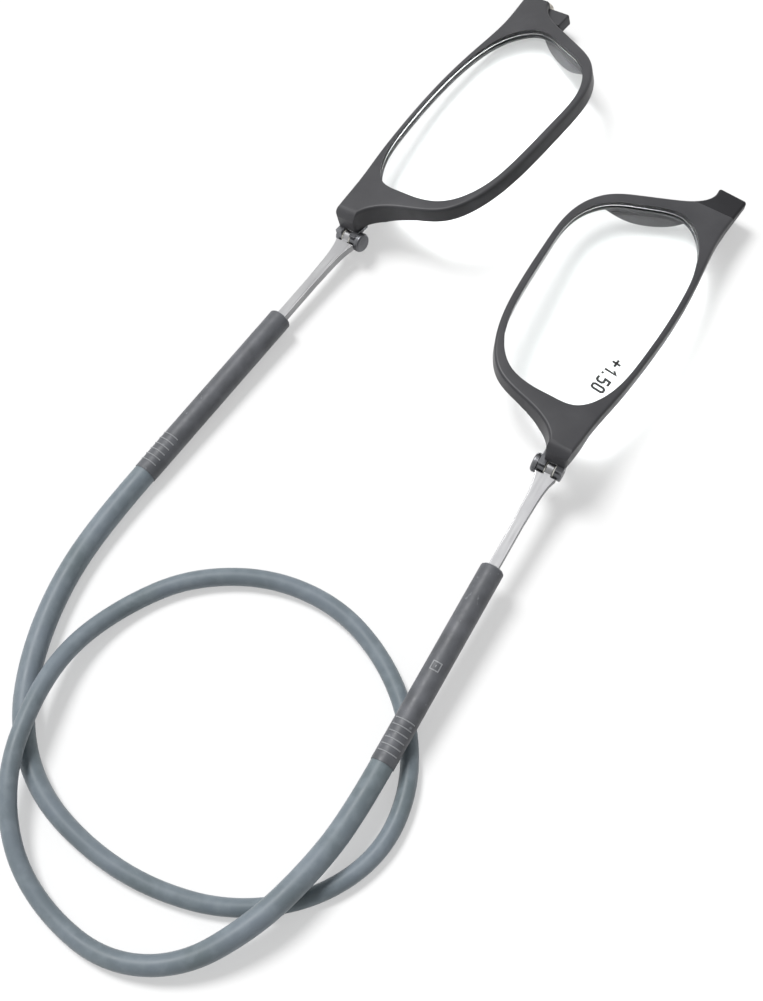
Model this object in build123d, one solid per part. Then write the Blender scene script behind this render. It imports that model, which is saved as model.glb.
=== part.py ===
"""Reading glasses on a neck cord, parted at the magnetic bridge and laid on a table.

Millimetres, +Z up. Left and right are the wearer's. The table is at z = 0.
"""
import math
import os

from build123d import *

os.makedirs("parts", exist_ok=True)

# Half front: x runs from the bridge to the temple, y is up, z = 0 is the front face
lens_half_width = 24.4
lens_half_height = 13.1
rim_depth = 3.0
bridge_reach = 9.8
end_reach = 9.8
right_bridge_trim = 1.7
rim_edge_radius = 0.55
end_round_radius = 2.0
groove_front_lip = 1.0
groove_back_lip = 0.6
groove_depth = 0.5
cut_overrun = 1.0

# Lens opening, from the temple side round over the top, as shares of its half width and half height
opening_shares = (
    (1.0, 0.04), (0.985, 0.46), (0.82, 0.745), (0.42, 0.93), (-0.15, 1.0), (-0.61, 0.935),
    (-0.9, 0.70), (-1.01, 0.34), (-0.935, -0.15), (-0.82, -0.61), (-0.59, -0.92), (-0.2, -1.0),
    (0.32, -0.99), (0.7, -0.87), (0.93, -0.55),
)

# Outer edge: past -1 and 1 the first share runs on along the bridge and along the end piece
top_edge_shares = (
    (-1.96, 1.1), (-1.5, 1.06), (-1.0, 1.02), (-0.6, 1.055), (-0.1, 1.078), (0.35, 1.02),
    (0.75, 0.925), (1.1, 0.835), (1.7, 0.785), (2.0, 0.755),
)
bottom_edge_shares = (
    (2.0, 0.42), (1.75, 0.375), (1.5, 0.18), (1.27, -0.24), (1.0, -0.67), (0.68, -1.0),
    (0.25, -1.1), (-0.25, -1.1), (-0.68, -0.985), (-0.9, -0.69), (-1.04, -0.28), (-1.3, 0.19),
    (-1.53, 0.5), (-1.74, 0.63), (-2.0, 0.645),
)

# Bridge: the mating block is deeper than the rim, and the left one is a separate housing
bridge_block_depth = 4.4
bridge_back_chamfer = 2.7
bridge_block_length = 5.7
housing_length = 5.4
housing_seam = 0.05
bridge_edge_radius = 0.5
foot_length = 3.7
foot_drop = 4.7
foot_sink = 0.6
foot_front_step = 1.5
foot_back_step = 0.5
foot_edge_radius = 0.35
magnet_radius = 1.2
magnet_length = 2.2
magnet_recess = 1.6
magnet_clearance = 0.05
magnet_chamfer = 0.2
magnet_lower_wall = 0.4
magnet_back_wall = 0.25

# Nose pad: a flange behind the nose side of the rim
pad_thickness = 1.3
pad_reach = 3.8
pad_root_sink = 0.6
pad_splay = 27.0
pad_edge_radius = 0.4
pad_top_shares = (-1.42, 0.5)
pad_bottom_shares = (-0.845, -0.72)
pad_free_edge_shares = (
    (0.0, 0.12), (0.12, 0.68), (0.3, 0.96), (0.5, 1.0), (0.72, 0.82), (0.9, 0.42), (1.0, 0.12),
)

# Lens: plano-convex reading lens, flat edge plate in the groove
lens_edge_clearance = 0.05
lens_opening_clearance = 0.1
lens_front_radius = 350.0
lens_apex_sink = 0.05
print_film_width = 9.8
print_film_height = 3.0
print_film_thickness = 0.1
print_film_gap = 0.01
print_film_turn = -6.3
print_centre_shares = (0.607, 0.641)

# Hinge at the end piece: its axis runs along y, behind the front face
hinge_past_end = 0.26
hinge_drop = 0.506
barrel_radius = 1.35
barrel_below = 2.15
barrel_above = 2.6
washer_thickness = 0.2
hinge_side_gap = 0.02
screw_radius = 0.7
screw_gap = 0.02
screw_head_radius = 1.75
screw_head_height = 1.0
screw_head_dome = 0.35
leaf_thickness = 0.7
leaf_sink = 0.2
leaf_length = 3.21
leaf_plate_bottom = 1.6
leaf_notch_gap = 0.3
leaf_bar_length = 1.4
leaf_finger_overlap = 0.7
leaf_finger_half_width = 0.9
leaf_seat_gap = 0.02
end_block_length = 5.0
end_block_depth = 1.13
block_ramp = 2.4

# Arm: flat steel strip, x runs from the hinge to the cord, y is its height
arm_thickness = 1.3
arm_visible = 21.4
arm_root_gap = 0.2
arm_height_at_hinge = 4.2
arm_height_in_sleeve = 2.0
arm_taper_shares = ((0.0, 1.0), (0.13, 0.6), (0.35, 0.27), (0.6, 0.12), (1.0, 0.0))
arm_taper_length = 10.2
arm_slide_out = 13.0
arm_slide_spare = 0.5
stop_radius = 1.4
stop_length = 2.5

# Sleeve: round rubber tube with a slotted bush in its mouth and a plug in its end
sleeve_length = 39.35
sleeve_radius = 2.2
sleeve_bore_radius = 1.5
sleeve_edge_radius = 0.35
bush_length = 5.0
bush_slot_clearance = 0.05
bore_fit_gap = 0.02
plug_length_in_sleeve = 6.0
plug_barb_radius = 1.0
plug_length_in_cord = 6.0
plug_barb_step = 0.18
plug_barb_count = 3

# Neck cord: thick at both ends, thinner round the neck
cord_end_diameter = 4.2
cord_neck_diameter = 3.2
cord_barb_clearance = 0.05
corner_share = 0.45

# Lay on the table: the end of each sleeve, the way it points, and how far its front is folded
left_exit = (0.11, -50.48, 5.35)
left_heading = -119.13
left_dip = 2.57
left_roll = -0.18
left_fold = 8.57
right_exit = (-42.46, 4.27, 2.42)
right_heading = -127.11
right_dip = 1.41
right_roll = 17.5
right_fold = 5.0
table_shift_x = -11.17
table_shift_y = -27.11

# Cord route from the right sleeve to the left one: x, y and the height of its middle.
# It crosses itself twice in long low humps, and the left sleeve passes over it once.
cord_route = (
    (-50.30, -6.10, 2.12),
    (-56.60, -18.00, 2.12),
    (-60.30, -30.50, 2.20),
    (-61.30, -42.80, 2.02),
    (-57.40, -54.30, 1.88),
    (-49.00, -63.40, 1.71),
    (-38.20, -70.30, 1.62),
    (-24.90, -74.10, 1.60),
    (-11.20, -72.30, 1.60),
    (-0.40, -65.20, 1.60),
    (4.70, -54.40, 1.60),
    (4.80, -42.20, 1.60),
    (0.50, -30.60, 1.60),
    (-7.60, -20.80, 1.60),
    (-19.80, -15.30, 1.60),
    (-33.60, -15.50, 1.60),
    (-44.60, -20.60, 1.60),
    (-53.60, -28.60, 3.40),
    (-58.80, -39.20, 6.10),
    (-62.30, -52.00, 6.10),
    (-61.00, -64.30, 3.40),
    (-55.00, -74.20, 1.60),
    (-44.70, -82.40, 1.90),
    (-32.20, -83.40, 3.30),
    (-20.50, -77.20, 5.90),
    (-11.80, -68.70, 5.90),
    (-5.00, -59.65, 4.88),
)
# How thick the cord is at each point: 1 is its end diameter, 0 its diameter round the neck
cord_thickness_shares = (
    1, 1, 1, 0.7, 0.4, 0.1, 0, 0, 0, 0, 0, 0, 0, 0,
    0, 0, 0, 0, 0, 0, 0, 0, 0.3, 0.6, 1, 1, 1,
)


def half_front_point(along_share, up_share):
    """A point of the half front's outer edge, from its shares."""
    reach = bridge_reach if along_share < 0 else end_reach
    past_lens = max(abs(along_share) - 1, 0)
    x = min(abs(along_share), 1) * lens_half_width + past_lens * reach
    return (math.copysign(x, along_share), up_share * lens_half_height)


def outer_face():
    top = [half_front_point(*shares) for shares in top_edge_shares]
    bottom = [half_front_point(*shares) for shares in bottom_edge_shares]
    edges = [Spline(*top), Line(top[-1], bottom[0]), Spline(*bottom), Line(bottom[-1], top[0])]
    return make_face(edges)


def opening_face(growth=0.0):
    """The lens opening, grown outwards all round: two curves that meet square to x at the widest points."""
    points = [(a * lens_half_width, b * lens_half_height) for a, b in opening_shares]
    grown = []
    for (x0, y0), (x, y), (x1, y1) in zip(points[-1:] + points, points, points[1:] + points[:1]):
        step = math.hypot(x1 - x0, y1 - y0)
        grown.append((x + growth * (y1 - y0) / step, y + growth * (x0 - x1) / step))
    nose_point = min(range(len(grown)), key=lambda number: opening_shares[number][0])
    top = grown[:nose_point + 1]
    bottom = grown[nose_point:] + grown[:1]
    up, down = (0, 1), (0, -1)
    return make_face([Spline(*top, tangents=[up, down], tangent_scalars=[1, 1]),
                      Spline(*bottom, tangents=[down, up], tangent_scalars=[1, 1])])


def slab(face, z_low, z_high):
    """The flat face made solid between two heights."""
    return Pos(0, 0, z_low) * extrude(face, z_high - z_low)


def block(x_span, y_span, z_span):
    """A box between two values along each axis."""
    size = [span[1] - span[0] for span in (x_span, y_span, z_span)]
    middle = [(span[1] + span[0]) / 2 for span in (x_span, y_span, z_span)]
    return Pos(*middle) * Box(*size)


def rod_along_x(radius, x_low, x_high, y=0.0, z=0.0):
    return Pos((x_low + x_high) / 2, y, z) * Rot(0, 90, 0) * Cylinder(radius, x_high - x_low)


def rod_along_y(radius, y_low, y_high, x=0.0, z=0.0):
    return Pos(x, (y_low + y_high) / 2, z) * Rot(90, 0, 0) * Cylinder(radius, y_high - y_low)


groove_front = -groove_front_lip
groove_back = groove_back_lip - rim_depth
bridge_end_x = -(lens_half_width + bridge_reach)
end_piece_x = lens_half_width + end_reach
bridge_back = -bridge_block_depth
end_block_back = -rim_depth - end_block_depth
front_span = (-lens_half_height * 2, lens_half_height * 2)
leaf_drop = barrel_radius - leaf_sink
hinge_reach = end_piece_x + hinge_past_end
hinge_rise = (top_edge_shares[-1][1] + bottom_edge_shares[0][1]) / 2 * lens_half_height - hinge_drop
hinge_setback = leaf_seat_gap + leaf_thickness + leaf_drop - end_block_back
bridge_top_y = top_edge_shares[0][1] * lens_half_height
pocket_radius = magnet_radius + magnet_clearance
magnet_rise = bottom_edge_shares[-1][1] * lens_half_height + magnet_lower_wall + pocket_radius
magnet_depth = bridge_block_depth - magnet_back_wall - pocket_radius


def bridge_back_wedge():
    """What the slanted upper back edge of the bridge block leaves away."""
    reach = bridge_back_chamfer * math.sqrt(2)
    length = 2 * (bridge_block_length + block_ramp)
    return Pos(bridge_end_x, bridge_top_y, bridge_back) * Rot(45, 0, 0) * Box(length, reach, reach)


def end_corner_waste():
    """What the round corner leaves away where the front face turns back to the hinge."""
    corner_x = end_piece_x - end_round_radius
    corner = block((corner_x, end_piece_x + cut_overrun), front_span, (-end_round_radius, cut_overrun))
    return corner - rod_along_y(end_round_radius, *front_span, x=corner_x, z=-end_round_radius)


def round_tips(solid):
    """Rounds the upright edges at the bridge end and at the end piece."""
    beyond_lens = bridge_end_x + housing_length / 2
    upright = solid.edges().filter_by(Axis.Z).filter_by(lambda edge: abs(edge.center().X) > -beyond_lens)
    return fillet(upright, bridge_edge_radius)


def deep_end(outer_x, inner_x, back):
    """The outer shape behind the rim at one end, with a ramp down to the rim past its inner end."""
    ramp_x = inner_x + math.copysign(block_ramp, inner_x - outer_x)
    side_view = Polyline((ramp_x, -rim_depth), (inner_x, back), (outer_x, back), (outer_x, -rim_depth),
                         close=True)
    wedge = extrude(Rot(90, 0, 0) * make_face(side_view), front_span[1], both=True)
    return slab(outer_face(), back, -rim_depth) & wedge


def front_blank():
    """Outer shape of the half front with its bridge block and end block, before any cut."""
    blank = slab(outer_face(), -rim_depth, 0)
    blank = blank + deep_end(bridge_end_x - cut_overrun, bridge_end_x + bridge_block_length, bridge_back)
    blank = blank + deep_end(end_piece_x + cut_overrun, end_piece_x - end_block_length, end_block_back)
    blank = round_tips(blank - bridge_back_wedge())
    front_edges = blank.edges().group_by(Axis.Z)[-1]
    return fillet(front_edges, rim_edge_radius) - end_corner_waste()


def nose_pad():
    """Flange that grows from the back of the rim and splays towards the lens."""
    top_x, top_y = half_front_point(*pad_top_shares)
    bottom_x, bottom_y = half_front_point(*pad_bottom_shares)
    pad_length = math.hypot(bottom_x - top_x, bottom_y - top_y)
    pad_turn = math.degrees(math.atan2(bottom_y - top_y, bottom_x - top_x))
    edge = [(a * pad_length, pad_root_sink + b * pad_reach) for a, b in pad_free_edge_shares]
    outline = [Line((0, 0), edge[0]), Spline(*edge), Line(edge[-1], (pad_length, 0)),
               Line((pad_length, 0), (0, 0))]
    plate = extrude(make_face(outline), pad_thickness / 2, both=True)
    free_edges = plate.edges().filter_by(GeomType.BSPLINE)
    plate = fillet(free_edges, pad_edge_radius)
    root = Pos(top_x, top_y, -rim_depth + pad_root_sink)
    return root * Rot(0, 0, pad_turn) * Rot(-90 + pad_splay, 0, 0) * plate


def bridge_foot(end_x):
    """Small block that stands out under the right bridge end, set back from its front."""
    bridge_bottom_y = bottom_edge_shares[-1][1] * lens_half_height
    foot = block((end_x, end_x + foot_length), (bridge_bottom_y - foot_drop, bridge_bottom_y + foot_sink),
                 (bridge_back + foot_back_step, -foot_front_step))
    return fillet(foot.edges(), foot_edge_radius)


def make_rim(side):
    rim = front_blank()
    rim = rim + nose_pad()
    rim = rim - slab(opening_face(), -rim_depth - cut_overrun, cut_overrun)
    rim = rim - slab(opening_face(groove_depth), groove_back, groove_front)
    deep_span = (bridge_back - cut_overrun, cut_overrun)
    if side == "left":
        cut_x = bridge_end_x + housing_length + housing_seam
        rim = rim - block((bridge_end_x - cut_overrun, cut_x), front_span, deep_span)
    else:
        cut_x = bridge_end_x + right_bridge_trim
        rim = rim - block((bridge_end_x - cut_overrun, cut_x), front_span, deep_span)
        rim = rim + bridge_foot(cut_x)
        rim = rim - rod_along_x(pocket_radius, cut_x - cut_overrun,
                                cut_x + magnet_length - magnet_recess + magnet_clearance,
                                magnet_rise, -magnet_depth)
    return rim


def make_magnet_housing():
    housing_span = (bridge_end_x - cut_overrun, bridge_end_x + housing_length)
    deep_span = (bridge_back - cut_overrun, cut_overrun)
    housing = front_blank() & block(housing_span, front_span, deep_span)
    pocket_depth = magnet_recess + magnet_length + magnet_clearance
    pocket = rod_along_x(pocket_radius, bridge_end_x - cut_overrun,
                         bridge_end_x + pocket_depth, magnet_rise, -magnet_depth)
    return housing - pocket


def make_bridge_magnet(side):
    """Sunk in the left housing as a socket, proud of the right bridge end as a stub."""
    start = bridge_end_x + magnet_recess
    if side == "right":
        start = bridge_end_x + right_bridge_trim - magnet_recess
    magnet = rod_along_x(magnet_radius, start, start + magnet_length, magnet_rise, -magnet_depth)
    return chamfer(magnet.edges(), magnet_chamfer)


def lens_dome():
    """Round cap under the lens's front surface, wide enough for the whole lens."""
    edge_radius = lens_half_width + bridge_reach / 2
    edge_z, half_z = [-lens_apex_sink - lens_front_radius + math.sqrt(lens_front_radius ** 2 - radius ** 2)
                      for radius in (edge_radius, edge_radius / 2)]
    arc = ThreePointArc((0, -lens_apex_sink), (edge_radius / 2, half_z), (edge_radius, edge_z))
    floor_z = -rim_depth * 2
    sides = Polyline((edge_radius, edge_z), (edge_radius, floor_z), (0, floor_z), (0, -lens_apex_sink))
    return revolve(Rot(90, 0, 0) * make_face([arc, *sides.edges()]), Axis.Z)


def make_lens():
    edge_outline = opening_face(groove_depth - lens_edge_clearance)
    plate = slab(edge_outline, groove_back + lens_edge_clearance, groove_front - lens_edge_clearance)
    body = slab(opening_face(-lens_opening_clearance), groove_back + lens_edge_clearance, 0)
    return plate + (body & lens_dome())


def make_lens_print():
    """Clear film on the lens's front that carries the lens power."""
    label = Box(print_film_width, print_film_height, rim_depth)
    centre_x, centre_y = half_front_point(*print_centre_shares)
    label = Pos(centre_x, centre_y, -rim_depth / 2) * Rot(0, 0, print_film_turn) * label
    inner_radius = lens_front_radius + print_film_gap
    ball_centre = Pos(0, 0, -lens_apex_sink - lens_front_radius)
    outer = label & (ball_centre * Sphere(inner_radius + print_film_thickness))
    return outer - ball_centre * Sphere(inner_radius)


knuckle_length = (barrel_below + barrel_above - 2 * washer_thickness - 4 * hinge_side_gap) / 3
lower_knuckle = (-barrel_below, -barrel_below + knuckle_length)
lower_washer = (lower_knuckle[1] + hinge_side_gap, lower_knuckle[1] + hinge_side_gap + washer_thickness)
arm_knuckle = (lower_washer[1] + hinge_side_gap, lower_washer[1] + hinge_side_gap + knuckle_length)
upper_washer = (arm_knuckle[1] + hinge_side_gap, arm_knuckle[1] + hinge_side_gap + washer_thickness)
upper_knuckle = (upper_washer[1] + hinge_side_gap, barrel_above)


def at_hinge(shape):
    """Moves a shape drawn about the hinge axis to its place in the half front."""
    return Pos(hinge_reach, hinge_rise, -hinge_setback) * shape


def make_hinge_leaf():
    """Steel leaf under the end block with two knuckles on fingers."""
    notch_start = -barrel_radius - leaf_notch_gap
    root = notch_start - leaf_length
    plate_z = (leaf_drop, leaf_drop + leaf_thickness)
    leaf = block((root, notch_start), (-leaf_plate_bottom, barrel_above), plate_z)
    leaf = leaf + block((notch_start - leaf_bar_length, notch_start), (-barrel_below, barrel_above), plate_z)
    for span in (lower_knuckle, upper_knuckle):
        leaf = leaf + block((notch_start - leaf_finger_overlap, leaf_finger_half_width), span, plate_z)
        leaf = leaf + block((-leaf_finger_half_width, leaf_finger_half_width), span, (0, leaf_drop))
        leaf = leaf + rod_along_y(barrel_radius, *span)
    hole = rod_along_y(screw_radius + screw_gap, -barrel_below - cut_overrun, barrel_above + cut_overrun)
    return at_hinge(leaf - hole)


def make_hinge_washers():
    rings = [rod_along_y(barrel_radius, *span) - rod_along_y(screw_radius + screw_gap, *span)
             for span in (lower_washer, upper_washer)]
    return at_hinge(Compound(children=rings))


def make_hinge_screw():
    """Shank through the knuckles and a round knob of a head below them."""
    shank = rod_along_y(screw_radius, -barrel_below - hinge_side_gap, barrel_above)
    head_top = -barrel_below - hinge_side_gap
    head = rod_along_y(screw_head_radius, head_top - screw_head_height, head_top)
    head = fillet(head.edges().filter_by(GeomType.CIRCLE).sort_by(Axis.Y)[0], screw_head_dome)
    return at_hinge(shank + head)


arm_hidden = bush_length + arm_slide_out + arm_slide_spare + stop_length
arm_hinge_x = -(sleeve_length + arm_visible)
arm_tip_x = -sleeve_length + arm_hidden
arm_wide_x = arm_hinge_x + barrel_radius + arm_root_gap


def make_arm():
    half_drop = (arm_height_at_hinge - arm_height_in_sleeve) / 2
    upper = [(arm_wide_x + a * arm_taper_length, arm_height_in_sleeve / 2 + b * half_drop)
             for a, b in arm_taper_shares]
    lower = [(x, -y) for x, y in reversed(upper)]
    tip_top = (arm_tip_x, upper[-1][1])
    tip_bottom = (arm_tip_x, lower[0][1])
    outline = [Spline(*upper), Line(upper[-1], tip_top), Line(tip_top, tip_bottom),
               Line(tip_bottom, lower[0]), Spline(*lower), Line(lower[-1], upper[0])]
    arm = extrude(make_face(outline), arm_thickness / 2, both=True)
    root_z = (-arm_thickness / 2, arm_thickness / 2)
    arm = arm + block((arm_hinge_x, arm_wide_x + arm_root_gap), arm_knuckle, root_z)
    arm = arm + rod_along_y(barrel_radius, *arm_knuckle, x=arm_hinge_x)
    return arm - rod_along_y(screw_radius + screw_gap, -barrel_below, barrel_above, x=arm_hinge_x)


def make_arm_stop():
    stop = rod_along_x(stop_radius, arm_tip_x - stop_length, arm_tip_x)
    hole_y = arm_height_in_sleeve / 2 + bore_fit_gap
    hole_z = arm_thickness / 2 + bore_fit_gap
    return stop - block((arm_tip_x - stop_length - cut_overrun, arm_tip_x + cut_overrun),
                        (-hole_y, hole_y), (-hole_z, hole_z))


def make_sleeve():
    sleeve = rod_along_x(sleeve_radius, -sleeve_length, 0)
    sleeve = fillet(sleeve.edges().filter_by(GeomType.CIRCLE).sort_by(Axis.X)[0], sleeve_edge_radius)
    return sleeve - rod_along_x(sleeve_bore_radius, -sleeve_length - cut_overrun, cut_overrun)


def make_sleeve_bush():
    bush_end = -sleeve_length + bush_length
    bush = rod_along_x(sleeve_bore_radius - bore_fit_gap, -sleeve_length, bush_end)
    slot_y = arm_height_in_sleeve / 2 + bush_slot_clearance
    slot_z = arm_thickness / 2 + bush_slot_clearance
    slot_x = (-sleeve_length - cut_overrun, bush_end + cut_overrun)
    return bush - block(slot_x, (-slot_y, slot_y), (-slot_z, slot_z))


def make_cord_plug():
    """Plug in the sleeve's end with a barbed spigot in the cord."""
    plug = rod_along_x(sleeve_bore_radius - bore_fit_gap, -plug_length_in_sleeve, 0)
    barb_length = plug_length_in_cord / plug_barb_count
    for number in range(plug_barb_count):
        start = number * barb_length
        barb = Cone(plug_barb_radius, plug_barb_radius - plug_barb_step, barb_length)
        plug = plug + Pos(start + barb_length / 2, 0, 0) * Rot(0, 90, 0) * barb
    return plug


def sleeve_place(side):
    """Where a sleeve lies: its origin is at its cord end and its x axis points out along the cord."""
    if side == "left":
        exit_point, heading, dip, roll = left_exit, left_heading, left_dip, left_roll
    else:
        exit_point, heading, dip, roll = right_exit, right_heading, right_dip, right_roll
    x, y, z = exit_point
    turn = Rot(0, 0, heading) * Rot(0, dip, 0) * Rot(roll, 0, 0)
    return Pos(x + table_shift_x, y + table_shift_y, z) * turn


def front_place(side):
    """Where a half front lies, with its hinge on the arm and folded by a few degrees."""
    fold = left_fold if side == "left" else right_fold
    rise = hinge_rise if side == "left" else -hinge_rise
    on_arm = Pos(arm_hinge_x, 0, 0) * Rot(0, -fold, 0) * Pos(-hinge_reach, -rise, hinge_setback)
    return sleeve_place(side) * on_arm


def write_piece(name, solid):
    export_step(solid, "parts/" + name + ".step")


def place_on_side(side, place, solid):
    """The right half mirrors the left half top to bottom, because each lies with its front up."""
    if side == "right":
        solid = mirror(solid, about=Plane.XZ)
    return place(side) * solid


def make_neck_cord():
    """One tube: arcs of steady diameter, and straight bits that carry each change of diameter."""
    ends = [(x + table_shift_x, y + table_shift_y, z) for x, y, z in (right_exit, left_exit)]
    middle = [(x + table_shift_x, y + table_shift_y, z) for x, y, z in cord_route]
    points = [Vector(*point) for point in [ends[0], *middle, ends[1]]]
    runs = [b - a for a, b in zip(points, points[1:])]
    radii = []
    for before, after in zip(runs, runs[1:]):
        turn = math.radians(before.get_angle(after))
        radii.append(corner_share * min(before.length, after.length) / math.tan(turn / 2))
    path = FilletPolyline(*points, radius=radii)
    print("cord runs", [round(run.length, 1) for run in runs])
    print("cord radii", [round(radius, 1) for radius in radii])
    print("cord length along its middle", round(path.length, 1))
    growth = cord_end_diameter - cord_neck_diameter
    diameters = [cord_neck_diameter + share * growth for share in (1, *cord_thickness_shares, 1)]
    pieces = []
    expected_volume = 0.0
    for number, edge in enumerate(path.edges()):
        before = diameters[(number + 1) // 2]
        after = diameters[(number + 2) // 2]
        start = Plane(origin=edge @ 0, z_dir=edge % 0)
        if number % 2:
            pieces.append(sweep(start * Circle(before / 2), path=edge).solid())
        elif before == after:
            pieces.append(Solid.make_cylinder(before / 2, edge.length, start))
        else:
            pieces.append(Solid.make_cone(before / 2, after / 2, edge.length, start))
        expected_volume += math.pi * edge.length * (before ** 2 + before * after + after ** 2) / 12
    cord = pieces[0].fuse(*pieces[1:])
    print("cord volume", round(cord.volume, 1), "against section times length", round(expected_volume, 1))
    bore_radius = plug_barb_radius + cord_barb_clearance
    for side in ("left", "right"):
        bore = rod_along_x(bore_radius, -cut_overrun, plug_length_in_cord + cord_barb_clearance)
        cord = cord - sleeve_place(side) * bore
    return cord


for side in ("left", "right"):
    write_piece(side + "_rim", place_on_side(side, front_place, make_rim(side)))
    write_piece(side + "_lens", place_on_side(side, front_place, make_lens()))
    write_piece(side + "_bridge_magnet", place_on_side(side, front_place, make_bridge_magnet(side)))
    write_piece(side + "_hinge_leaf", place_on_side(side, front_place, make_hinge_leaf()))
    write_piece(side + "_hinge_washers", place_on_side(side, front_place, make_hinge_washers()))
    write_piece(side + "_hinge_screw", place_on_side(side, front_place, make_hinge_screw()))
    write_piece(side + "_arm", place_on_side(side, sleeve_place, make_arm()))
    write_piece(side + "_arm_stop", place_on_side(side, sleeve_place, make_arm_stop()))
    write_piece(side + "_sleeve", place_on_side(side, sleeve_place, make_sleeve()))
    write_piece(side + "_sleeve_bush", place_on_side(side, sleeve_place, make_sleeve_bush()))
    write_piece(side + "_cord_plug", place_on_side(side, sleeve_place, make_cord_plug()))

write_piece("left_magnet_housing", place_on_side("left", front_place, make_magnet_housing()))
write_piece("lens_power_print", place_on_side("left", front_place, make_lens_print()))
write_piece("neck_cord", make_neck_cord())
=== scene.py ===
"""Looks of the magnetic bridge reading glasses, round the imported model. Metres, +Z up, table at z = 0.

Left and right are the wearer's. The half with the lens power and the magnet housing is the left one.
"""
import math

import bmesh
import bpy
from mathutils import Matrix, Vector


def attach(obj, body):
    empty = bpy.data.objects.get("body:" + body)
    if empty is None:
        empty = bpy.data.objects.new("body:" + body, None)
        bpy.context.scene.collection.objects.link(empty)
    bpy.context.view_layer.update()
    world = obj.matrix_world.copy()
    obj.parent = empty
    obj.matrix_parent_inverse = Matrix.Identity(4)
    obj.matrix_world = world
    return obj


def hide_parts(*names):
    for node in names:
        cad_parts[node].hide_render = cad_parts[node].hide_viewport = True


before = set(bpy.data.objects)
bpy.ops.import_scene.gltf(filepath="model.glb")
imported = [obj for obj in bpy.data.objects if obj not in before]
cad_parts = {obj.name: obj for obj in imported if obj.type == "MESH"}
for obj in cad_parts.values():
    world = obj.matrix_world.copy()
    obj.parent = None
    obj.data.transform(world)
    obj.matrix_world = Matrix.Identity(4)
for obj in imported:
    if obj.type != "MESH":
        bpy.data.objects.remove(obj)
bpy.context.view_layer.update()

# The photograph's camera: it stands in front of the table and looks down at it
image_width = 763
image_height = 1001
focal_pixels = 1873.0
sensor_width = 36.0
near_clip = 0.01
camera_elevation = 66.0
camera_distance = 0.337
table_centre = Vector((-0.01117, -0.02711, 0.0))

# Light: a soft sun from the photograph's upper left, and a pale room with a dim side at the photographer,
# which fades in between two cosines of the angle from its middle
table_see_through = 0.45
sun_strength = 2.65
sun_softness = 20.0
sun_elevation = 60.0
sun_from_azimuth = 135.0
room_strength = 0.32
dim_side = (0.5, -0.8, 0.33)
dim_strength = 0.22
dim_edge_cosine = 0.15
dim_middle_cosine = 0.9
table_size = 4.0

# Neck cord, from the right sleeve to the left one: its middle line, before the shift to the table's centre
cord_end_diameter = 0.0042
cord_neck_diameter = 0.0032
cord_route = (
    (-0.05030, -0.00610, 0.00212),
    (-0.05660, -0.01800, 0.00212),
    (-0.06030, -0.03050, 0.00220),
    (-0.06130, -0.04280, 0.00202),
    (-0.05740, -0.05430, 0.00188),
    (-0.04900, -0.06340, 0.00171),
    (-0.03820, -0.07030, 0.00162),
    (-0.02490, -0.07410, 0.00160),
    (-0.01120, -0.07230, 0.00160),
    (-0.00040, -0.06520, 0.00160),
    (0.00470, -0.05440, 0.00160),
    (0.00480, -0.04220, 0.00160),
    (0.00050, -0.03060, 0.00160),
    (-0.00760, -0.02080, 0.00160),
    (-0.01980, -0.01530, 0.00160),
    (-0.03360, -0.01550, 0.00160),
    (-0.04460, -0.02060, 0.00160),
    (-0.05360, -0.02860, 0.00340),
    (-0.05880, -0.03920, 0.00610),
    (-0.06230, -0.05200, 0.00610),
    (-0.06100, -0.06430, 0.00340),
    (-0.05500, -0.07420, 0.00160),
    (-0.04470, -0.08240, 0.00190),
    (-0.03220, -0.08340, 0.00330),
    (-0.02050, -0.07720, 0.00590),
    (-0.01180, -0.06870, 0.00590),
    (-0.00500, -0.05965, 0.00488),
)
# How thick the cord is at each point: 1 is its end diameter, 0 its diameter round the neck
cord_thickness_shares = (
    1, 1, 1, 0.7, 0.4, 0.1, 0, 0, 0, 0, 0, 0, 0, 0,
    0, 0, 0, 0, 0, 0, 0, 0, 0.3, 0.6, 1, 1, 1,
)
cord_round_steps = 6
cord_run_steps = 14

# How each half lies: where the cord leaves its sleeve, the sleeve's heading, dip and roll, and the fold at
# its hinge. The right half front mirrors the left one, so its y has the other sign
sleeve_exit = {"left": (0.00011, -0.05048, 0.00535), "right": (-0.04246, 0.00427, 0.00242)}
sleeve_turns = {"left": (-119.13, 2.57, -0.18), "right": (-127.11, 1.41, 17.5)}
hinge_fold = {"left": 8.57, "right": 5.0}
mirror_sign = {"left": 1, "right": -1}
sleeve_length = 0.03935
sleeve_radius = 0.0022
arm_visible = 0.0214
hinge_reach = 0.03446
hinge_rise = 0.00719
hinge_setback = 0.006

# Ribs round the screw heads: the middle of their band lies this far below the hinge's middle
screw_head_radius = 0.00175
screw_head_middle = 0.0025
rib_height = 0.00016
rib_width = 0.0002
rib_length = 0.00056
rib_count = 26

# Edges broken by moulding, stamping and tumbling, where two faces meet at more than the crease angle
moulded_edge = 0.00012
stamped_edge = 0.00015
fine_edge = 0.0001
crease_angle = 24.0
edge_steps = 2
merge_distance = 0.000002
flat_angle = 0.5

# Lens power: plain digits on the front of the left lens
lens_front_radius = 0.350
lens_apex_sink = 0.00005
digit_centre = (0.01499, 0.00836)
digit_turn = -6.3
digit_height = 0.0023
digit_stroke = 0.00045
digit_gap = 0.00076
digit_lift = 0.00002
digit_thickness = 0.00003
sharpest_mitre = 0.5

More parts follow.
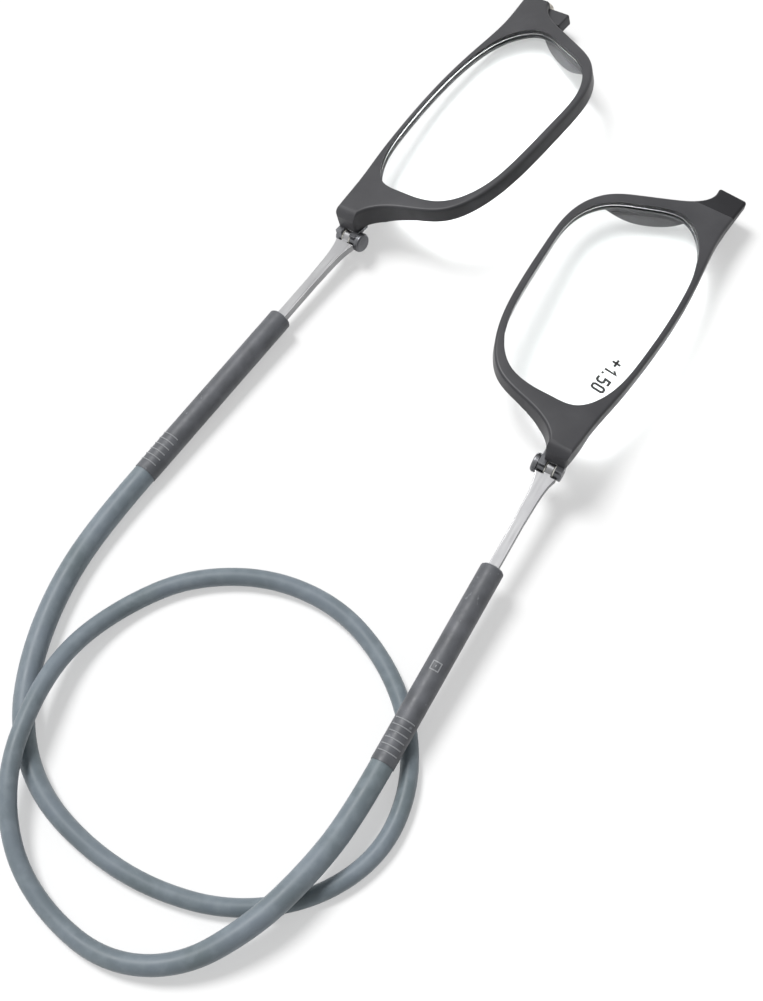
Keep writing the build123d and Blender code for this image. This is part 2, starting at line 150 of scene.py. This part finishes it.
# Moulded marks of the sleeves: grip bars over the cord end, a square frame half way, a lip at the mouth
bar_count = 6
bar_pitch = 0.00125
bar_start = 0.0018
bar_half_thickness = 0.00011
bar_reach = 52.0
bar_arc_steps = 24
bar_round_steps = 8
mark_middle = 0.0187
mark_size = 0.00155
mark_stroke = 0.0002
mark_lift = 0.00006
lip_profile = (
    (0.0, 0.00156), (0.00012, 0.00164), (0.00012, 0.00186), (-0.00006, 0.00194), (-0.00006, 0.00156),
)
lip_steps = 48

# Patterns of the finishes: how large their lumps or lines are, and how deep. The nylon's pits, the rubber's
# skin and the steel's brush lines are drawn coarser than the real ones, so that they show
nylon_handling_size = 0.009
nylon_pit_size = 0.00022
nylon_pit_depth = 0.00001
rubber_bloom_size = 0.0035
rubber_scuff_size = 0.0011
rubber_skin_size = 0.00018
rubber_skin_depth = 0.00001
cord_patch_size = 0.011
cord_mottling_size = 0.0022
cord_dust_size = 0.00045
cord_dust_depth = 0.000012
cord_scatter_reach = 0.0012
steel_line_size = 0.00025
steel_line_depth = 0.000006
steel_line_stretch = 40
steel_smear_size = 0.004
steel_smear_stretch = 2
nickel_mark_size = 0.0006
lens_wipe_size = 0.006
lens_wipe_stretch = 3
lens_wipe_heading = 30.0
ink_mesh_size = 0.0004

# Each character: its width, then its strokes as points in shares of that width and of the digit height
character_shares = (
    (0.00165, (((0.0, 0.5), (1.0, 0.5)), ((0.5, 0.14), (0.5, 0.86)))),
    (0.00055, (((0.0, 0.72), (1.0, 1.0), (1.0, 0.0)),)),
    (0.00030, (((0.5, -0.04), (0.5, 0.15)),)),
    (0.00103, (((1.0, 1.0), (0.08, 1.0), (0.0, 0.56), (0.72, 0.60), (1.0, 0.46), (1.0, 0.14), (0.74, 0.0),
                (0.0, 0.0)),)),
    (0.00098, (((0.24, 0.0), (0.76, 0.0), (1.0, 0.14), (1.0, 0.86), (0.76, 1.0), (0.24, 1.0), (0.0, 0.86),
                (0.0, 0.14), (0.24, 0.0)),)),
)


def linear(hex_colour):
    """An sRGB hex colour as linear red, green, blue and alpha."""
    shares = [int(hex_colour[place:place + 2], 16) / 255 for place in (1, 3, 5)]
    bent = [share / 12.92 if share <= 0.04045 else ((share + 0.055) / 1.055) ** 2.4 for share in shares]
    return (*bent, 1.0)


def add_node(tree, kind, inputs=None, **settings):
    """Adds a node: a socket given as an input is linked to it, and any other input is set."""
    made = tree.nodes.new(kind)
    for name, value in settings.items():
        setattr(made, name, value)
    for name, value in (inputs or {}).items():
        if isinstance(value, bpy.types.NodeSocket):
            tree.links.new(value, made.inputs[name])
        else:
            made.inputs[name].default_value = value
    return made


def new_material(name):
    """An empty material and its node tree."""
    material = bpy.data.materials.new(name)
    material.use_nodes = True
    material.node_tree.nodes.clear()
    return material, material.node_tree


def grain(tree, size, detail, stretch=(1, 1, 1), turn=(0, 0, 0), seed=0.0):
    """Noise whose lumps are about size metres across, stretched along the turned axes."""
    place = add_node(tree, "ShaderNodeTexCoord").outputs["Object"]
    mapped = add_node(tree, "ShaderNodeMapping", {"Vector": place, "Rotation": turn}, vector_type="TEXTURE")
    spread = add_node(tree, "ShaderNodeVectorMath", {0: mapped.outputs["Vector"], 1: stretch},
                      operation="DIVIDE")
    return add_node(tree, "ShaderNodeTexNoise", {
        "Vector": spread.outputs["Vector"], "Scale": 1 / size, "Detail": detail, "W": seed,
    }, noise_dimensions="4D").outputs["Fac"]


def patterned_colour(tree, pattern, plain, marked, low, high, most=1.0):
    """The plain colour, turned towards the marked one where the pattern rises from low to high."""
    share = add_node(tree, "ShaderNodeMapRange", {
        "Value": pattern, "From Min": low, "From Max": high, "To Min": 0.0, "To Max": most})
    # A Mix node's colours go in at sockets 6 and 7 and come out at 2
    return add_node(tree, "ShaderNodeMix", {0: share.outputs["Result"], 6: plain, 7: marked},
                    data_type="RGBA").outputs[2]


def moulded_nylon(name, shade, rubbed_shade, roughness, shine):
    """Moulded nylon, spark-eroded mould: a fine even grain that dulls it, with faint rubbed patches."""
    material, tree = new_material(name)
    handling = grain(tree, nylon_handling_size, detail=4.0)
    pits = grain(tree, nylon_pit_size, detail=2.0)
    colour = patterned_colour(tree, handling, linear(shade), linear(rubbed_shade), low=0.42, high=0.72)
    rough = add_node(tree, "ShaderNodeMapRange", {
        "Value": handling, "From Min": 0.3, "From Max": 0.7,
        "To Min": roughness + 0.06, "To Max": roughness - 0.05})
    bump = add_node(tree, "ShaderNodeBump", {
        "Height": pits, "Distance": nylon_pit_depth, "Strength": 0.35})
    surface = add_node(tree, "ShaderNodeBsdfPrincipled", {
        "Base Color": colour,
        "Roughness": rough.outputs["Result"],
        "Specular IOR Level": shine,
        "IOR": 1.52,
        "Normal": bump.outputs["Normal"],
    })
    add_node(tree, "ShaderNodeOutputMaterial", {"Surface": surface.outputs[0]})
    return material


def sleeve_rubber(name, shade, bloom_shade):
    """Moulded thermoplastic rubber: satin, with a soft pale bloom, small scuffs and a fine skin."""
    material, tree = new_material(name)
    bloom = grain(tree, rubber_bloom_size, detail=5.0, seed=2.0)
    skin = grain(tree, rubber_skin_size, detail=2.0)
    scuffs = grain(tree, rubber_scuff_size, detail=6.0, seed=7.0)
    colour = patterned_colour(tree, bloom, linear(shade), linear(bloom_shade), low=0.38, high=0.68)
    colour = patterned_colour(tree, scuffs, colour, linear("#9a9ca1"), low=0.66, high=0.74, most=0.5)
    rough = add_node(tree, "ShaderNodeMapRange", {
        "Value": scuffs, "From Min": 0.4, "From Max": 0.75, "To Min": 0.42, "To Max": 0.6})
    bump = add_node(tree, "ShaderNodeBump", {
        "Height": skin, "Distance": rubber_skin_depth, "Strength": 0.4})
    surface = add_node(tree, "ShaderNodeBsdfPrincipled", {
        "Base Color": colour,
        "Roughness": rough.outputs["Result"],
        "Specular IOR Level": 0.4,
        "IOR": 1.5,
        "Sheen Weight": 0.08,
        "Sheen Roughness": 0.4,
        "Normal": bump.outputs["Normal"],
    })
    add_node(tree, "ShaderNodeOutputMaterial", {"Surface": surface.outputs[0]})
    return material


def cord_silicone():
    """Extruded silicone tube: soft and a little milky, with cloudy patches, mottling and dust on its skin."""
    material, tree = new_material("extruded_silicone_cord")
    patches = grain(tree, cord_patch_size, detail=3.0, seed=1.0)
    mottling = grain(tree, cord_mottling_size, detail=4.0, seed=4.0)
    dust = grain(tree, cord_dust_size, detail=3.0, seed=9.0)
    colour = patterned_colour(tree, patches, linear("#6b767b"), linear("#7a848d"), low=0.36, high=0.66)
    colour = patterned_colour(tree, mottling, colour, linear("#919ba2"), low=0.45, high=0.75, most=0.45)
    rough = add_node(tree, "ShaderNodeMapRange", {
        "Value": mottling, "From Min": 0.35, "From Max": 0.7, "To Min": 0.4, "To Max": 0.52})
    bump = add_node(tree, "ShaderNodeBump", {
        "Height": dust, "Distance": cord_dust_depth, "Strength": 0.35})
    surface = add_node(tree, "ShaderNodeBsdfPrincipled", {
        "Base Color": colour,
        "Roughness": rough.outputs["Result"],
        "Specular IOR Level": 0.4,
        "IOR": 1.43,
        "Subsurface Weight": 0.06,
        "Subsurface Radius": (cord_scatter_reach, cord_scatter_reach, cord_scatter_reach),
        "Subsurface Scale": 1.0,
        "Sheen Weight": 0.1,
        "Sheen Roughness": 0.5,
        "Normal": bump.outputs["Normal"],
    })
    add_node(tree, "ShaderNodeOutputMaterial", {"Surface": surface.outputs[0]})
    return material


def brushed_steel(name, shade, dull_shade, heading, dip, roughness):
    """Stamped stainless strip: fine brush lines along the strip spread its highlight across them."""
    material, tree = new_material(name)
    turn = (0, math.radians(dip), math.radians(heading))
    lines = grain(tree, steel_line_size, detail=2.0, stretch=(steel_line_stretch, 1, 1), turn=turn)
    smears = grain(tree, steel_smear_size, detail=4.0, stretch=(steel_smear_stretch, 1, 1), turn=turn,
                   seed=3.0)
    colour = patterned_colour(tree, smears, linear(shade), linear(dull_shade), low=0.35, high=0.7)
    brushed = add_node(tree, "ShaderNodeMapRange", {
        "Value": lines, "From Min": 0.3, "From Max": 0.7,
        "To Min": roughness - 0.07, "To Max": roughness + 0.08})
    smeared = add_node(tree, "ShaderNodeMapRange", {
        "Value": smears, "From Min": 0.4, "From Max": 0.7, "To Min": 0.0, "To Max": 0.07})
    rough = add_node(tree, "ShaderNodeMath", {
        0: brushed.outputs["Result"], 1: smeared.outputs["Result"]}, operation="ADD")
    bump = add_node(tree, "ShaderNodeBump", {
        "Height": lines, "Distance": steel_line_depth, "Strength": 0.5})
    surface = add_node(tree, "ShaderNodeBsdfPrincipled", {
        "Base Color": colour,
        "Metallic": 1.0,
        "Roughness": rough.outputs[0],
        "Normal": bump.outputs["Normal"],
    })
    add_node(tree, "ShaderNodeOutputMaterial", {"Surface": surface.outputs[0]})
    return material


def nickel_plate():
    """Nickel-plated magnet: bright and slightly warm, with small handling marks."""
    material, tree = new_material("nickel_plated_magnet")
    marks = grain(tree, nickel_mark_size, detail=4.0)
    colour = patterned_colour(tree, marks, linear("#d6d1c8"), linear("#bdb8ae"), low=0.4, high=0.7)
    rough = add_node(tree, "ShaderNodeMapRange", {
        "Value": marks, "From Min": 0.35, "From Max": 0.7, "To Min": 0.14, "To Max": 0.3})
    surface = add_node(tree, "ShaderNodeBsdfPrincipled", {
        "Base Color": colour,
        "Metallic": 1.0,
        "Roughness": rough.outputs["Result"],
    })
    add_node(tree, "ShaderNodeOutputMaterial", {"Surface": surface.outputs[0]})
    return material


def polished_lens():
    """Cast and polished clear plastic: it bends and mirrors the light a little, with a faint haze.

    Its shadow is almost clear, because lamps shine through it.
    """
    material, tree = new_material("polished_clear_lens")
    wipe = grain(tree, lens_wipe_size, detail=4.0, stretch=(lens_wipe_stretch, 1, 1),
                 turn=(0, 0, math.radians(lens_wipe_heading)))
    haze = add_node(tree, "ShaderNodeMapRange", {
        "Value": wipe, "From Min": 0.5, "From Max": 0.8, "To Min": 0.0, "To Max": 0.03})
    glass = add_node(tree, "ShaderNodeBsdfPrincipled", {
        "Base Color": linear("#fcfefe"),
        "Transmission Weight": 1.0,
        "Roughness": haze.outputs["Result"],
        "IOR": 1.49,
    })
    passing = add_node(tree, "ShaderNodeBsdfTransparent", {"Color": linear("#f7f9f9")})
    shadow_ray = add_node(tree, "ShaderNodeLightPath").outputs["Is Shadow Ray"]
    surface = add_node(tree, "ShaderNodeMixShader", {
        0: shadow_ray, 1: glass.outputs[0], 2: passing.outputs[0]})
    add_node(tree, "ShaderNodeOutputMaterial", {"Surface": surface.outputs[0]})
    return material


def print_ink():
    """Screen-printed ink: matt black, a little thin where the mesh carried less of it."""
    material, tree = new_material("printed_black_ink")
    thin = grain(tree, ink_mesh_size, detail=3.0)
    surface = add_node(tree, "ShaderNodeBsdfPrincipled", {
        "Base Color": patterned_colour(tree, thin, linear("#0a0a0b"), linear("#29292b"),
                                       low=0.5, high=0.8, most=0.6),
        "Roughness": 0.62,
    })
    add_node(tree, "ShaderNodeOutputMaterial", {"Surface": surface.outputs[0]})
    return material


def seen_rays(tree):
    """1 for rays that the eye follows: straight, mirrored or through glass."""
    path = add_node(tree, "ShaderNodeLightPath")
    either = add_node(tree, "ShaderNodeMath", {
        0: path.outputs["Is Camera Ray"], 1: path.outputs["Is Glossy Ray"],
    }, operation="MAXIMUM")
    return add_node(tree, "ShaderNodeMath", {
        0: either.outputs[0], 1: path.outputs["Is Transmission Ray"],
    }, operation="MAXIMUM").outputs[0]


def table_top():
    """White table: it shows the background's white, and the object's soft shadow."""
    material, tree = new_material("white_table")
    lit = add_node(tree, "ShaderNodeBsdfDiffuse", {"Color": (1.0, 1.0, 1.0, 1.0)})
    through = add_node(tree, "ShaderNodeBsdfTransparent", {"Color": (1.0, 1.0, 1.0, 1.0)})
    share = add_node(tree, "ShaderNodeMath", {
        0: seen_rays(tree), 1: table_see_through}, operation="MULTIPLY")
    surface = add_node(tree, "ShaderNodeMixShader", {
        0: share.outputs[0], 1: lit.outputs[0], 2: through.outputs[0]})
    add_node(tree, "ShaderNodeOutputMaterial", {"Surface": surface.outputs[0]})
    return material


def make_camera():
    """The photograph's camera, which looks down at the middle of the table."""
    data = bpy.data.cameras.new("photo_camera")
    data.sensor_fit = "AUTO"
    data.sensor_width = sensor_width
    data.lens = focal_pixels * sensor_width / max(image_width, image_height)
    camera = bpy.data.objects.new("photo_camera", data)
    bpy.context.scene.collection.objects.link(camera)
    tilt = math.radians(camera_elevation)
    back = Vector((0, -math.cos(tilt), math.sin(tilt)))
    camera.location = table_centre + back * camera_distance
    camera.rotation_euler = (-back).to_track_quat("-Z", "Y").to_euler()
    data.clip_start = near_clip
    bpy.context.scene.camera = camera


def make_sun():
    """A broad window light from the upper left."""
    sun = bpy.data.lights.new("window_light", "SUN")
    sun.energy = sun_strength
    sun.angle = math.radians(sun_softness)
    lamp = bpy.data.objects.new("window_light", sun)
    bpy.context.scene.collection.objects.link(lamp)
    height = math.radians(sun_elevation)
    around = math.radians(sun_from_azimuth)
    level = math.cos(height)
    towards = Vector((math.cos(around) * level, math.sin(around) * level, math.sin(height)))
    lamp.rotation_euler = towards.to_track_quat("Z", "Y").to_euler()


def make_room():
    """The pale room: seen as white, mirrored as white with a dim side, and a soft light on the object."""
    room = bpy.data.worlds.new("pale_room")
    room.use_nodes = True
    tree = room.node_tree
    tree.nodes.clear()
    way = add_node(tree, "ShaderNodeTexCoord").outputs["Generated"]
    towards_dim = add_node(tree, "ShaderNodeVectorMath", {0: way, 1: dim_side},
                           operation="DOT_PRODUCT").outputs["Value"]
    mirrored = add_node(tree, "ShaderNodeMapRange", {
        "Value": towards_dim, "From Min": dim_edge_cosine, "From Max": dim_middle_cosine,
        "To Min": 1.0, "To Max": dim_strength}).outputs["Result"]
    mirror_ray = add_node(tree, "ShaderNodeLightPath").outputs["Is Glossy Ray"]
    # A Mix node's numbers go in at sockets 2 and 3 and come out at 0
    seen = add_node(tree, "ShaderNodeMix", {0: mirror_ray, 2: 1.0, 3: mirrored}).outputs[0]
    strength = add_node(tree, "ShaderNodeMix", {0: seen_rays(tree), 2: room_strength, 3: seen}).outputs[0]
    air = add_node(tree, "ShaderNodeBackground", {"Color": (1.0, 1.0, 1.0, 1.0), "Strength": strength})
    add_node(tree, "ShaderNodeOutputWorld", {"Surface": air.outputs[0]})
    bpy.context.scene.world = room


def make_table():
    mesh = bpy.data.meshes.new("table")
    half = table_size / 2
    corners = [(x + table_centre.x, y + table_centre.y, 0.0) for x, y in
               ((-half, -half), (half, -half), (half, half), (-half, half))]
    mesh.from_pydata(corners, [], [(0, 1, 2, 3)])
    table = bpy.data.objects.new("table", mesh)
    bpy.context.scene.collection.objects.link(table)
    mesh.materials.append(table_top())


def sleeve_place(side):
    """Where a sleeve lies: its origin is at its cord end, and its x axis points out along the cord."""
    heading, dip, roll = [math.radians(turn) for turn in sleeve_turns[side]]
    place = Matrix.Translation(Vector(sleeve_exit[side]) + table_centre)
    return (place @ Matrix.Rotation(heading, 4, "Z") @ Matrix.Rotation(dip, 4, "Y")
            @ Matrix.Rotation(roll, 4, "X"))


def front_place(side):
    """Where a half front lies: x runs from bridge to temple, y up on the left and down on the right."""
    fold = math.radians(hinge_fold[side])
    rise = mirror_sign[side] * hinge_rise
    hinge_x = -(sleeve_length + arm_visible)
    return (sleeve_place(side) @ Matrix.Translation((hinge_x, 0, 0)) @ Matrix.Rotation(-fold, 4, "Y")
            @ Matrix.Translation((-hinge_reach, -rise, hinge_setback)))


def add_piece(name, mesh, material, body, slot, *stands_for):
    """Puts a finished mesh in the scene as a piece of the object."""
    piece = bpy.data.objects.new(name, mesh)
    bpy.context.scene.collection.objects.link(piece)
    mesh.materials.clear()
    mesh.materials.append(material)
    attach(piece, body)
    if stands_for:
        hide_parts(*stands_for)
    return piece


def make_cord():
    """The neck cord: a smooth tube along its route, thicker at both ends."""
    ends = [Vector(sleeve_exit[side]) + table_centre for side in ("right", "left")]
    points = [ends[0], *[Vector(point) + table_centre for point in cord_route], ends[1]]
    thickness = (1, *cord_thickness_shares, 1)
    curve = bpy.data.curves.new("silicone_cord", "CURVE")
    curve.dimensions = "3D"
    curve.bevel_depth = cord_neck_diameter / 2
    curve.bevel_resolution = cord_round_steps
    curve.use_fill_caps = True
    curve.resolution_u = cord_run_steps
    spline = curve.splines.new("NURBS")
    spline.points.add(len(points) - 1)
    for place, point, share in zip(spline.points, points, thickness):
        place.co = (*point, 1.0)
        place.radius = 1 + share * (cord_end_diameter / cord_neck_diameter - 1)
    spline.order_u = 3
    spline.use_endpoint_u = True
    curve.materials.append(cord_silicone())
    cord = bpy.data.objects.new("silicone_cord", curve)
    bpy.context.scene.collection.objects.link(cord)
    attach(cord, "neck_band")
    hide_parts("neck_cord")


def dressed_copy(node, name, edge_radius, material, body, slot):
    """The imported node's own shape, with its sharp edges broken and its normals made anew."""
    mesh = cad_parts[node].data.copy()
    mesh.name = name
    work = bmesh.new()
    work.from_mesh(mesh)
    bmesh.ops.remove_doubles(work, verts=work.verts, dist=merge_distance)
    bmesh.ops.dissolve_limit(work, angle_limit=math.radians(flat_angle), verts=work.verts, edges=work.edges)
    work.to_mesh(mesh)
    work.free()
    # The corner normals that came with the loose triangles don't fit the merged faces
    if "custom_normal" in mesh.attributes:
        mesh.attributes.remove(mesh.attributes["custom_normal"])
    piece = add_piece(name, mesh, material, body, slot, node)
    for face in mesh.polygons:
        face.use_smooth = True
    edge = piece.modifiers.new("broken_edges", "BEVEL")
    edge.width = edge_radius
    edge.segments = edge_steps
    edge.limit_method = "ANGLE"
    edge.angle_limit = math.radians(crease_angle)
    edge.harden_normals = True
    edge.miter_outer = "MITER_ARC"
    edge.use_clamp_overlap = True


def lens_height(x, y, lift):
    """Height of the lens's front surface in the half front's frame."""
    ball = lens_front_radius + lift
    return -lens_apex_sink - lens_front_radius + math.sqrt(ball ** 2 - x ** 2 - y ** 2)


def sleeve_height(x, y, lift):
    """Height of the sleeve's round top over its axis."""
    return math.sqrt((sleeve_radius + lift) ** 2 - y ** 2)


def ribbon_sides(points, width):
    """The two edges of a flat stroke through the points, with mitred corners."""
    edges = []
    for number, point in enumerate(points):
        ways = []
        if number:
            ways.append((point - points[number - 1]).normalized())
        if number + 1 < len(points):
            ways.append((points[number + 1] - point).normalized())
        if points[0] == points[-1] and number in (0, len(points) - 1):
            ways = [(points[-1] - points[-2]).normalized(), (points[1] - points[0]).normalized()]
        along = sum(ways, Vector((0, 0))).normalized()
        across = Vector((-along.y, along.x))
        reach = width / 2 / max(across.dot(Vector((-ways[0].y, ways[0].x))), sharpest_mitre)
        edges.append((point + across * reach, point - across * reach))
    return edges


def raised_strokes(name, strokes, width, height_of, low, high):
    """A mesh of flat strokes that follow a surface between two lifts over it."""
    work = bmesh.new()
    for points in strokes:
        rows = []
        for sides in ribbon_sides(points, width):
            rows.append([work.verts.new((side.x, side.y, height_of(side.x, side.y, lift)))
                         for side in sides for lift in (low, high)])
        for (a, b, c, d), (e, f, g, h) in zip(rows, rows[1:]):
            for face in ((b, d, h, f), (a, e, g, c), (a, b, f, e), (c, g, h, d)):
                work.faces.new(face)
        if points[0] != points[-1]:
            for a, b, c, d in (rows[0], rows[-1]):
                work.faces.new((a, c, d, b))
    bmesh.ops.recalc_face_normals(work, faces=work.faces)
    mesh = bpy.data.meshes.new(name)
    work.to_mesh(mesh)
    work.free()
    return mesh


def make_lens_power():
    """The lens power as thin flat strokes of ink on the lens."""
    total = sum(width for width, shapes in character_shares) + digit_gap * (len(character_shares) - 1)
    start = -total / 2
    middle = Vector(digit_centre)
    turn = Matrix.Rotation(math.radians(digit_turn), 2)
    strokes = []
    for width, shapes in character_shares:
        for shape in shapes:
            strokes.append([middle + turn @ Vector((start + across * width, (up - 0.5) * digit_height))
                            for across, up in shape])
        start += width + digit_gap
    mesh = raised_strokes("lens_power_digits", strokes, digit_stroke, lens_height, digit_lift,
                          digit_lift + digit_thickness)
    mesh.transform(front_place("left"))
    add_piece("lens_power_digits", mesh, print_ink(), "left_front", "print_film", "lens_power_print")


def grown_mesh(name, build, sizes, material):
    """The plain mesh that a Geometry Nodes tree grows from its named sizes."""
    tree = bpy.data.node_groups.new(name, "GeometryNodeTree")
    for label, size in sizes.items():
        kind = "NodeSocketInt" if isinstance(size, int) else "NodeSocketFloat"
        tree.interface.new_socket(label, in_out="INPUT", socket_type=kind)
    tree.interface.new_socket("Geometry", in_out="OUTPUT", socket_type="NodeSocketGeometry")
    grown = build(tree, tree.nodes.new("NodeGroupInput").outputs)
    real = add_node(tree, "GeometryNodeRealizeInstances", {"Geometry": grown})
    coated = add_node(tree, "GeometryNodeSetMaterial", {"Geometry": real.outputs[0], "Material": material})
    add_node(tree, "NodeGroupOutput", {"Geometry": coated.outputs[0]})
    holder = bpy.data.objects.new(name, bpy.data.meshes.new(name + "_seed"))
    bpy.context.scene.collection.objects.link(holder)
    growth = holder.modifiers.new(name, "NODES")
    growth.node_group = tree
    for socket in tree.interface.items_tree:
        if socket.in_out == "INPUT":
            growth[socket.identifier] = sizes[socket.name]
    mesh = bpy.data.meshes.new_from_object(holder.evaluated_get(bpy.context.evaluated_depsgraph_get()))
    mesh.name = name
    bpy.data.objects.remove(holder)
    return mesh


def knurl_tree(tree, given):
    """Straight ribs round a knob."""
    size = add_node(tree, "ShaderNodeCombineXYZ", {
        "X": given["Rib height"], "Y": given["Rib width"], "Z": given["Rib length"]})
    rib = add_node(tree, "GeometryNodeMeshCube", {"Size": size.outputs[0]})
    ring = add_node(tree, "GeometryNodeMeshCircle", {
        "Vertices": given["Ribs"], "Radius": given["Knob radius"]})
    outwards = add_node(tree, "FunctionNodeAlignRotationToVector", {
        "Vector": add_node(tree, "GeometryNodeInputPosition").outputs[0]}, axis="X")
    return add_node(tree, "GeometryNodeInstanceOnPoints", {
        "Points": ring.outputs[0], "Instance": rib.outputs[0], "Rotation": outwards.outputs[0]}).outputs[0]


def grip_tree(tree, given):
    """A row of raised bars, each bent round a part of the sleeve."""
    arc = add_node(tree, "GeometryNodeCurveArc", {
        "Resolution": bar_arc_steps, "Radius": given["Sleeve radius"],
        "Start Angle": given["Start angle"], "Sweep Angle": given["Sweep angle"]}, mode="RADIUS")
    section = add_node(tree, "GeometryNodeCurvePrimitiveCircle", {
        "Resolution": bar_round_steps, "Radius": given["Bar radius"]})
    bar = add_node(tree, "GeometryNodeCurveToMesh", {
        "Curve": arc.outputs[0], "Profile Curve": section.outputs[0], "Fill Caps": True})
    step = add_node(tree, "ShaderNodeCombineXYZ", {"Z": given["Pitch"]})
    first = add_node(tree, "ShaderNodeCombineXYZ", {"Z": given["First bar"]})
    row = add_node(tree, "GeometryNodeMeshLine", {
        "Count": given["Bars"], "Start Location": first.outputs[0], "Offset": step.outputs[0]})
    return add_node(tree, "GeometryNodeInstanceOnPoints", {
        "Points": row.outputs[0], "Instance": bar.outputs[0]}).outputs[0]


def turned_ring(name, profile):
    """A closed ring round x: each profile point is its way along x and its radius."""
    work = bmesh.new()
    rows = []
    for number in range(lip_steps):
        angle = math.tau * number / lip_steps
        rows.append([work.verts.new((x, radius * math.cos(angle), radius * math.sin(angle)))
                     for x, radius in profile])
    for row, after in zip(rows, rows[1:] + rows[:1]):
        for a, b, c, d in zip(row, row[1:] + row[:1], after[1:] + after[:1], after):
            work.faces.new((a, b, c, d))
    bmesh.ops.recalc_face_normals(work, faces=work.faces)
    mesh = bpy.data.meshes.new(name)
    work.to_mesh(mesh)
    work.free()
    return mesh


def make_sleeve_marks(rubber):
    """Grip bars over the cord ends, a plain square frame with a dot on the left sleeve, and mouth lips."""
    for side in mirror_sign:
        place = sleeve_place(side)
        bars = grown_mesh(side + "_grip_bars", grip_tree, {
            "Sleeve radius": sleeve_radius, "Start angle": math.radians(-bar_reach),
            "Sweep angle": math.radians(2 * bar_reach), "Bar radius": bar_half_thickness,
            "Pitch": bar_pitch, "First bar": bar_start, "Bars": bar_count,
        }, rubber)
        bars.transform(place @ Matrix.Rotation(math.radians(-90), 4, "Y"))
        add_piece(side + "_grip_bars", bars, rubber, "neck_band", "sleeve_rubber")
        lip = turned_ring(side + "_mouth_lip", [(-sleeve_length - x, radius) for x, radius in lip_profile])
        lip.transform(place)
        add_piece(side + "_mouth_lip", lip, rubber, "neck_band", "sleeve_rubber")
    half = mark_size / 2
    frame_line = [Vector((a * half - mark_middle, b * half)) for a, b in
                  ((0, 1), (-1, 1), (-1, 0), (-1, -1), (0, -1), (1, -1), (1, 0), (1, 1), (0, 1))]
    dot_line = [Vector((a * mark_stroke - mark_middle, 0)) for a in (-1, 1)]
    mark = raised_strokes("left_square_mark", [frame_line, dot_line], mark_stroke, sleeve_height,
                          -mark_lift, mark_lift)
    mark.transform(sleeve_place("left"))
    add_piece("left_square_mark", mark, rubber, "neck_band", "sleeve_rubber")


def make_screw_knurls(steels):
    """Fine straight ribs round each hinge screw's head."""
    for side, sign in mirror_sign.items():
        ribs = grown_mesh(side + "_screw_knurl", knurl_tree, {
            "Rib height": rib_height, "Rib width": rib_width, "Rib length": rib_length,
            "Ribs": rib_count, "Knob radius": screw_head_radius,
        }, steels[side])
        middle = Matrix.Translation((hinge_reach, sign * (hinge_rise - screw_head_middle), -hinge_setback))
        ribs.transform(front_place(side) @ middle @ Matrix.Rotation(math.radians(90), 4, "X"))
        add_piece(side + "_screw_knurl", ribs, steels[side], side + "_front", "hinge_steel")


def dress_nodes():
    """Gives each carried-over or copied node its finish."""
    rim = moulded_nylon("moulded_nylon_rim", "#39393c", "#464649", roughness=0.42, shine=0.34)
    # The housing's near-black colour is partly its own nylon and partly painted shade of its face that slopes
    # away from the light
    housing_nylon_with_painted_shade = moulded_nylon("moulded_nylon_housing_painted_shade", "#1e1e21", "#28282b", roughness=0.42, shine=0.22)
    black = moulded_nylon("moulded_nylon_black", "#1c1c1e", "#2a2a2c", roughness=0.45, shine=0.3)
    washer = moulded_nylon("moulded_nylon_washer", "#d4d3cd", "#c6c4bb", roughness=0.4, shine=0.5)
    lens = polished_lens()
    nickel = nickel_plate()
    sleeve = sleeve_rubber("moulded_rubber_sleeve", "#54565a", "#66686d")
    steels = {}
    for side in sleeve_turns:
        heading, dip = sleeve_turns[side][:2]
        strip = brushed_steel(side + "_brushed_steel", "#a4a4a5", "#8d8d8f", heading, dip, roughness=0.31)
        # The hinge steel is brushed across the arm
        steel = brushed_steel(side + "_dark_hinge_steel", "#7d7e81", "#66676a", heading + 90, 0,
                              roughness=0.33)
        steels[side] = steel
        front, arm = side + "_front", side + "_arm"
        dressed_copy(side + "_rim", side + "_rim_moulding", moulded_edge, rim, front, "rim_plastic")
        dressed_copy(side + "_arm", side + "_steel_arm", stamped_edge, strip, arm, "arm_steel")
        dressed_copy(side + "_hinge_leaf", side + "_steel_leaf", fine_edge, steel, front, "hinge_steel")
        dressed_copy(side + "_hinge_screw", side + "_turned_screw", fine_edge, steel, front, "hinge_steel")
        dressed_copy(side + "_sleeve", side + "_rubber_sleeve", fine_edge, sleeve, "neck_band",
                     "sleeve_rubber")
        for node, material in ((side + "_lens", lens), (side + "_bridge_magnet", nickel),
                               (side + "_hinge_washers", washer), (side + "_sleeve_bush", black),
                               (side + "_cord_plug", black), (side + "_arm_stop", strip)):
            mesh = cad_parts[node].data
            mesh.materials.clear()
            mesh.materials.append(material)
    dressed_copy("left_magnet_housing", "left_housing_moulding", fine_edge, housing_nylon_with_painted_shade, "left_front",
                 "housing_plastic")
    make_sleeve_marks(sleeve_rubber("moulded_rubber_pale", "#8f9194", "#a2a4a7"))
    make_screw_knurls(steels)


bpy.context.scene.view_settings.view_transform = "Standard"
make_camera()
make_sun()
make_room()
make_table()
make_cord()
dress_nodes()
make_lens_power()
